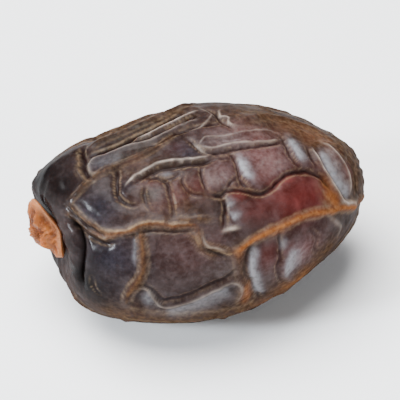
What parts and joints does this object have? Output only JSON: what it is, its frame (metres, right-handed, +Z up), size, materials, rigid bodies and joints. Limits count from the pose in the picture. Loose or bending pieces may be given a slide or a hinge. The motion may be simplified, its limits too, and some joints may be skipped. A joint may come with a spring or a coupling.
{
  "type": "medjool date",
  "caption": "Whole dried date lying on its side, with a net of raised folds and dark creases in its glossy skin and a dry calyx cap at its stem end.",
  "frame": {"origin": "middle of the small flat spot under the fruit, on the surface that it rests on", "axes": "+X from the stem end to the tip, along the fruit's length; +Z up; -Y to the front, the side seen in the picture"},
  "size_m": [0.0413, 0.0281, 0.024],
  "materials": {
    "skin": "glossy, wrinkled, dark purple-brown with orange-brown folds",
    "dry_calyx": "dry, orange-brown, slightly shiny"
  },
  "bodies": {
    "root": {"fruit": "skin", "calyx": "dry_calyx"}
  },
  "joints": []
}
